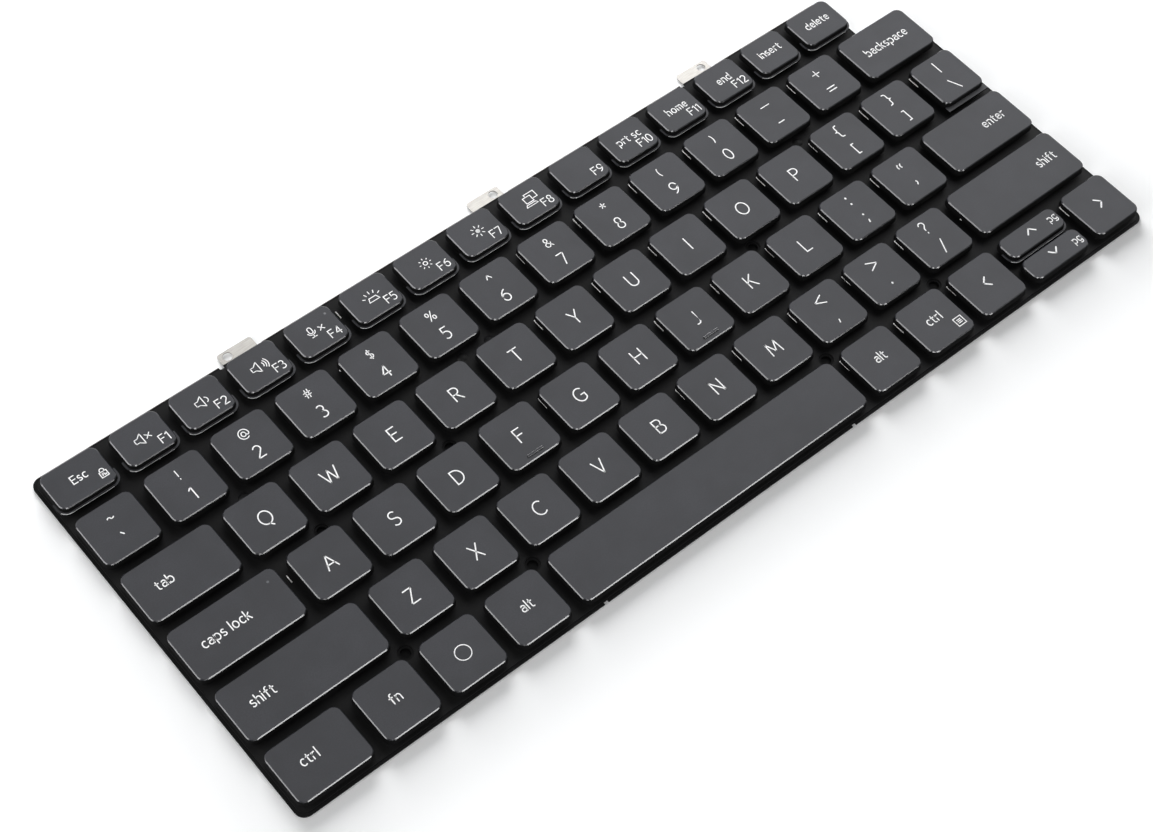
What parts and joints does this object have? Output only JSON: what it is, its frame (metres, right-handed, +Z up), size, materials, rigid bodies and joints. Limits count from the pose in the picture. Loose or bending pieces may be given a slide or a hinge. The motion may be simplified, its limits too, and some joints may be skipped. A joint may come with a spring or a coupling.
{
  "type": "laptop keyboard",
  "caption": "Compact laptop keyboard module with low scissor keys on a stamped plate, a backlight sheet beneath and three screw tabs along the back.",
  "frame": {"origin": "centre of the base plate's outline, on the underside of the lowest sheet", "axes": "+X right along the rows, +Y towards the function row and the tabs, +Z up through the keycaps"},
  "size_m": [0.261, 0.1082, 0.0045],
  "materials": {
    "key_plastic": "fine matt paint on moulded plastic",
    "plated_steel": "rolled sheet, nickel plated",
    "membrane_film": "satin black printed film",
    "silicone": "smooth",
    "link_plastic": "moulded",
    "spring_wire": "drawn wire",
    "guide_sheet": "clear sheet",
    "reflector_film": "black backed film"
  },
  "bodies": {
    "base": {"reflector_sheet": "reflector_film", "light_guide": "guide_sheet", "base_plate": "plated_steel", "switch_membrane": "membrane_film", "rubber_domes": "silicone", "scissor_outer_links": "link_plastic", "scissor_inner_links": "link_plastic", "stabilizer_bars": "spring_wire", "function_row_keys": "key_plastic", "number_row_keys": "key_plastic"},
    "key_tab": {"key_tab": "key_plastic"},
    "key_q": {"key_q": "key_plastic"},
    "key_w": {"key_w": "key_plastic"},
    "key_e": {"key_e": "key_plastic"},
    "key_r": {"key_r": "key_plastic"},
    "key_t": {"key_t": "key_plastic"},
    "key_y": {"key_y": "key_plastic"},
    "key_u": {"key_u": "key_plastic"},
    "key_i": {"key_i": "key_plastic"},
    "key_o": {"key_o": "key_plastic"},
    "key_p": {"key_p": "key_plastic"},
    "key_left_bracket": {"key_left_bracket": "key_plastic"},
    "key_right_bracket": {"key_right_bracket": "key_plastic"},
    "key_backslash": {"key_backslash": "key_plastic"},
    "key_caps_lock": {"key_caps_lock": "key_plastic"},
    "key_a": {"key_a": "key_plastic"},
    "key_s": {"key_s": "key_plastic"},
    "key_d": {"key_d": "key_plastic"},
    "key_f": {"key_f": "key_plastic"},
    "key_g": {"key_g": "key_plastic"},
    "key_h": {"key_h": "key_plastic"},
    "key_j": {"key_j": "key_plastic"},
    "key_k": {"key_k": "key_plastic"},
    "key_l": {"key_l": "key_plastic"},
    "key_semicolon": {"key_semicolon": "key_plastic"},
    "key_quote": {"key_quote": "key_plastic"},
    "key_enter": {"key_enter": "key_plastic"},
    "key_left_shift": {"key_left_shift": "key_plastic"},
    "key_z": {"key_z": "key_plastic"},
    "key_x": {"key_x": "key_plastic"},
    "key_c": {"key_c": "key_plastic"},
    "key_v": {"key_v": "key_plastic"},
    "key_b": {"key_b": "key_plastic"},
    "key_n": {"key_n": "key_plastic"},
    "key_m": {"key_m": "key_plastic"},
    "key_comma": {"key_comma": "key_plastic"},
    "key_period": {"key_period": "key_plastic"},
    "key_slash": {"key_slash": "key_plastic"},
    "key_right_shift": {"key_right_shift": "key_plastic"},
    "key_left_ctrl": {"key_left_ctrl": "key_plastic"},
    "key_fn": {"key_fn": "key_plastic"},
    "key_ring": {"key_ring": "key_plastic"},
    "key_left_alt": {"key_left_alt": "key_plastic"},
    "key_space": {"key_space": "key_plastic"},
    "key_right_alt": {"key_right_alt": "key_plastic"},
    "key_right_ctrl": {"key_right_ctrl": "key_plastic"},
    "key_arrow_left": {"key_arrow_left": "key_plastic"},
    "key_arrow_right": {"key_arrow_right": "key_plastic"},
    "key_arrow_up": {"key_arrow_up": "key_plastic"},
    "key_arrow_down": {"key_arrow_down": "key_plastic"}
  },
  "joints": [
    {"name": "press_tab", "type": "slide", "parent": "base", "child": "key_tab", "axis": [0, 0, -1], "range_m": [0, 0.0012], "stiffness_N_per_m": 450, "deforming": ["rubber_domes", "scissor_outer_links", "scissor_inner_links", "stabilizer_bars"]},
    {"name": "press_q", "type": "slide", "parent": "base", "child": "key_q", "axis": [0, 0, -1], "range_m": [0, 0.0012], "stiffness_N_per_m": 450, "deforming": ["rubber_domes", "scissor_outer_links", "scissor_inner_links"]},
    {"name": "press_w", "type": "slide", "parent": "base", "child": "key_w", "axis": [0, 0, -1], "range_m": [0, 0.0012], "stiffness_N_per_m": 450, "deforming": ["rubber_domes", "scissor_outer_links", "scissor_inner_links"]},
    {"name": "press_e", "type": "slide", "parent": "base", "child": "key_e", "axis": [0, 0, -1], "range_m": [0, 0.0012], "stiffness_N_per_m": 450, "deforming": ["rubber_domes", "scissor_outer_links", "scissor_inner_links"]},
    {"name": "press_r", "type": "slide", "parent": "base", "child": "key_r", "axis": [0, 0, -1], "range_m": [0, 0.0012], "stiffness_N_per_m": 450, "deforming": ["rubber_domes", "scissor_outer_links", "scissor_inner_links"]},
    {"name": "press_t", "type": "slide", "parent": "base", "child": "key_t", "axis": [0, 0, -1], "range_m": [0, 0.0012], "stiffness_N_per_m": 450, "deforming": ["rubber_domes", "scissor_outer_links", "scissor_inner_links"]},
    {"name": "press_y", "type": "slide", "parent": "base", "child": "key_y", "axis": [0, 0, -1], "range_m": [0, 0.0012], "stiffness_N_per_m": 450, "deforming": ["rubber_domes", "scissor_outer_links", "scissor_inner_links"]},
    {"name": "press_u", "type": "slide", "parent": "base", "child": "key_u", "axis": [0, 0, -1], "range_m": [0, 0.0012], "stiffness_N_per_m": 450, "deforming": ["rubber_domes", "scissor_outer_links", "scissor_inner_links"]},
    {"name": "press_i", "type": "slide", "parent": "base", "child": "key_i", "axis": [0, 0, -1], "range_m": [0, 0.0012], "stiffness_N_per_m": 450, "deforming": ["rubber_domes", "scissor_outer_links", "scissor_inner_links"]},
    {"name": "press_o", "type": "slide", "parent": "base", "child": "key_o", "axis": [0, 0, -1], "range_m": [0, 0.0012], "stiffness_N_per_m": 450, "deforming": ["rubber_domes", "scissor_outer_links", "scissor_inner_links"]},
    {"name": "press_p", "type": "slide", "parent": "base", "child": "key_p", "axis": [0, 0, -1], "range_m": [0, 0.0012], "stiffness_N_per_m": 450, "deforming": ["rubber_domes", "scissor_outer_links", "scissor_inner_links"]},
    {"name": "press_left_bracket", "type": "slide", "parent": "base", "child": "key_left_bracket", "axis": [0, 0, -1], "range_m": [0, 0.0012], "stiffness_N_per_m": 450, "deforming": ["rubber_domes", "scissor_outer_links", "scissor_inner_links"]},
    {"name": "press_right_bracket", "type": "slide", "parent": "base", "child": "key_right_bracket", "axis": [0, 0, -1], "range_m": [0, 0.0012], "stiffness_N_per_m": 450, "deforming": ["rubber_domes", "scissor_outer_links", "scissor_inner_links"]},
    {"name": "press_backslash", "type": "slide", "parent": "base", "child": "key_backslash", "axis": [0, 0, -1], "range_m": [0, 0.0012], "stiffness_N_per_m": 450, "deforming": ["rubber_domes", "scissor_outer_links", "scissor_inner_links"]},
    {"name": "press_caps_lock", "type": "slide", "parent": "base", "child": "key_caps_lock", "axis": [0, 0, -1], "range_m": [0, 0.0012], "stiffness_N_per_m": 450, "deforming": ["rubber_domes", "scissor_outer_links", "scissor_inner_links", "stabilizer_bars"]},
    {"name": "press_a", "type": "slide", "parent": "base", "child": "key_a", "axis": [0, 0, -1], "range_m": [0, 0.0012], "stiffness_N_per_m": 450, "deforming": ["rubber_domes", "scissor_outer_links", "scissor_inner_links"]},
    {"name": "press_s", "type": "slide", "parent": "base", "child": "key_s", "axis": [0, 0, -1], "range_m": [0, 0.0012], "stiffness_N_per_m": 450, "deforming": ["rubber_domes", "scissor_outer_links", "scissor_inner_links"]},
    {"name": "press_d", "type": "slide", "parent": "base", "child": "key_d", "axis": [0, 0, -1], "range_m": [0, 0.0012], "stiffness_N_per_m": 450, "deforming": ["rubber_domes", "scissor_outer_links", "scissor_inner_links"]},
    {"name": "press_f", "type": "slide", "parent": "base", "child": "key_f", "axis": [0, 0, -1], "range_m": [0, 0.0012], "stiffness_N_per_m": 450, "deforming": ["rubber_domes", "scissor_outer_links", "scissor_inner_links"]},
    {"name": "press_g", "type": "slide", "parent": "base", "child": "key_g", "axis": [0, 0, -1], "range_m": [0, 0.0012], "stiffness_N_per_m": 450, "deforming": ["rubber_domes", "scissor_outer_links", "scissor_inner_links"]},
    {"name": "press_h", "type": "slide", "parent": "base", "child": "key_h", "axis": [0, 0, -1], "range_m": [0, 0.0012], "stiffness_N_per_m": 450, "deforming": ["rubber_domes", "scissor_outer_links", "scissor_inner_links"]},
    {"name": "press_j", "type": "slide", "parent": "base", "child": "key_j", "axis": [0, 0, -1], "range_m": [0, 0.0012], "stiffness_N_per_m": 450, "deforming": ["rubber_domes", "scissor_outer_links", "scissor_inner_links"]},
    {"name": "press_k", "type": "slide", "parent": "base", "child": "key_k", "axis": [0, 0, -1], "range_m": [0, 0.0012], "stiffness_N_per_m": 450, "deforming": ["rubber_domes", "scissor_outer_links", "scissor_inner_links"]},
    {"name": "press_l", "type": "slide", "parent": "base", "child": "key_l", "axis": [0, 0, -1], "range_m": [0, 0.0012], "stiffness_N_per_m": 450, "deforming": ["rubber_domes", "scissor_outer_links", "scissor_inner_links"]},
    {"name": "press_semicolon", "type": "slide", "parent": "base", "child": "key_semicolon", "axis": [0, 0, -1], "range_m": [0, 0.0012], "stiffness_N_per_m": 450, "deforming": ["rubber_domes", "scissor_outer_links", "scissor_inner_links"]},
    {"name": "press_quote", "type": "slide", "parent": "base", "child": "key_quote", "axis": [0, 0, -1], "range_m": [0, 0.0012], "stiffness_N_per_m": 450, "deforming": ["rubber_domes", "scissor_outer_links", "scissor_inner_links"]},
    {"name": "press_enter", "type": "slide", "parent": "base", "child": "key_enter", "axis": [0, 0, -1], "range_m": [0, 0.0012], "stiffness_N_per_m": 450, "deforming": ["rubber_domes", "scissor_outer_links", "scissor_inner_links", "stabilizer_bars"]},
    {"name": "press_left_shift", "type": "slide", "parent": "base", "child": "key_left_shift", "axis": [0, 0, -1], "range_m": [0, 0.0012], "stiffness_N_per_m": 450, "deforming": ["rubber_domes", "scissor_outer_links", "scissor_inner_links", "stabilizer_bars"]},
    {"name": "press_z", "type": "slide", "parent": "base", "child": "key_z", "axis": [0, 0, -1], "range_m": [0, 0.0012], "stiffness_N_per_m": 450, "deforming": ["rubber_domes", "scissor_outer_links", "scissor_inner_links"]},
    {"name": "press_x", "type": "slide", "parent": "base", "child": "key_x", "axis": [0, 0, -1], "range_m": [0, 0.0012], "stiffness_N_per_m": 450, "deforming": ["rubber_domes", "scissor_outer_links", "scissor_inner_links"]},
    {"name": "press_c", "type": "slide", "parent": "base", "child": "key_c", "axis": [0, 0, -1], "range_m": [0, 0.0012], "stiffness_N_per_m": 450, "deforming": ["rubber_domes", "scissor_outer_links", "scissor_inner_links"]},
    {"name": "press_v", "type": "slide", "parent": "base", "child": "key_v", "axis": [0, 0, -1], "range_m": [0, 0.0012], "stiffness_N_per_m": 450, "deforming": ["rubber_domes", "scissor_outer_links", "scissor_inner_links"]},
    {"name": "press_b", "type": "slide", "parent": "base", "child": "key_b", "axis": [0, 0, -1], "range_m": [0, 0.0012], "stiffness_N_per_m": 450, "deforming": ["rubber_domes", "scissor_outer_links", "scissor_inner_links"]},
    {"name": "press_n", "type": "slide", "parent": "base", "child": "key_n", "axis": [0, 0, -1], "range_m": [0, 0.0012], "stiffness_N_per_m": 450, "deforming": ["rubber_domes", "scissor_outer_links", "scissor_inner_links"]},
    {"name": "press_m", "type": "slide", "parent": "base", "child": "key_m", "axis": [0, 0, -1], "range_m": [0, 0.0012], "stiffness_N_per_m": 450, "deforming": ["rubber_domes", "scissor_outer_links", "scissor_inner_links"]},
    {"name": "press_comma", "type": "slide", "parent": "base", "child": "key_comma", "axis": [0, 0, -1], "range_m": [0, 0.0012], "stiffness_N_per_m": 450, "deforming": ["rubber_domes", "scissor_outer_links", "scissor_inner_links"]},
    {"name": "press_period", "type": "slide", "parent": "base", "child": "key_period", "axis": [0, 0, -1], "range_m": [0, 0.0012], "stiffness_N_per_m": 450, "deforming": ["rubber_domes", "scissor_outer_links", "scissor_inner_links"]},
    {"name": "press_slash", "type": "slide", "parent": "base", "child": "key_slash", "axis": [0, 0, -1], "range_m": [0, 0.0012], "stiffness_N_per_m": 450, "deforming": ["rubber_domes", "scissor_outer_links", "scissor_inner_links"]},
    {"name": "press_right_shift", "type": "slide", "parent": "base", "child": "key_right_shift", "axis": [0, 0, -1], "range_m": [0, 0.0012], "stiffness_N_per_m": 450, "deforming": ["rubber_domes", "scissor_outer_links", "scissor_inner_links", "stabilizer_bars"]},
    {"name": "press_left_ctrl", "type": "slide", "parent": "base", "child": "key_left_ctrl", "axis": [0, 0, -1], "range_m": [0, 0.0012], "stiffness_N_per_m": 450, "deforming": ["rubber_domes", "scissor_outer_links", "scissor_inner_links"]},
    {"name": "press_fn", "type": "slide", "parent": "base", "child": "key_fn", "axis": [0, 0, -1], "range_m": [0, 0.0012], "stiffness_N_per_m": 450, "deforming": ["rubber_domes", "scissor_outer_links", "scissor_inner_links"]},
    {"name": "press_ring", "type": "slide", "parent": "base", "child": "key_ring", "axis": [0, 0, -1], "range_m": [0, 0.0012], "stiffness_N_per_m": 450, "deforming": ["rubber_domes", "scissor_outer_links", "scissor_inner_links"]},
    {"name": "press_left_alt", "type": "slide", "parent": "base", "child": "key_left_alt", "axis": [0, 0, -1], "range_m": [0, 0.0012], "stiffness_N_per_m": 450, "deforming": ["rubber_domes", "scissor_outer_links", "scissor_inner_links"]},
    {"name": "press_space", "type": "slide", "parent": "base", "child": "key_space", "axis": [0, 0, -1], "range_m": [0, 0.0012], "stiffness_N_per_m": 450, "deforming": ["rubber_domes", "scissor_outer_links", "scissor_inner_links", "stabilizer_bars"]},
    {"name": "press_right_alt", "type": "slide", "parent": "base", "child": "key_right_alt", "axis": [0, 0, -1], "range_m": [0, 0.0012], "stiffness_N_per_m": 450, "deforming": ["rubber_domes", "scissor_outer_links", "scissor_inner_links"]},
    {"name": "press_right_ctrl", "type": "slide", "parent": "base", "child": "key_right_ctrl", "axis": [0, 0, -1], "range_m": [0, 0.0012], "stiffness_N_per_m": 450, "deforming": ["rubber_domes", "scissor_outer_links", "scissor_inner_links"]},
    {"name": "press_arrow_left", "type": "slide", "parent": "base", "child": "key_arrow_left", "axis": [0, 0, -1], "range_m": [0, 0.0012], "stiffness_N_per_m": 450, "deforming": ["rubber_domes", "scissor_outer_links", "scissor_inner_links"]},
    {"name": "press_arrow_right", "type": "slide", "parent": "base", "child": "key_arrow_right", "axis": [0, 0, -1], "range_m": [0, 0.0012], "stiffness_N_per_m": 450, "deforming": ["rubber_domes", "scissor_outer_links", "scissor_inner_links"]},
    {"name": "press_arrow_up", "type": "slide", "parent": "base", "child": "key_arrow_up", "axis": [0, 0, -1], "range_m": [0, 0.0012], "stiffness_N_per_m": 450, "deforming": ["rubber_domes", "scissor_outer_links", "scissor_inner_links"]},
    {"name": "press_arrow_down", "type": "slide", "parent": "base", "child": "key_arrow_down", "axis": [0, 0, -1], "range_m": [0, 0.0012], "stiffness_N_per_m": 450, "deforming": ["rubber_domes", "scissor_outer_links", "scissor_inner_links"]}
  ]
}
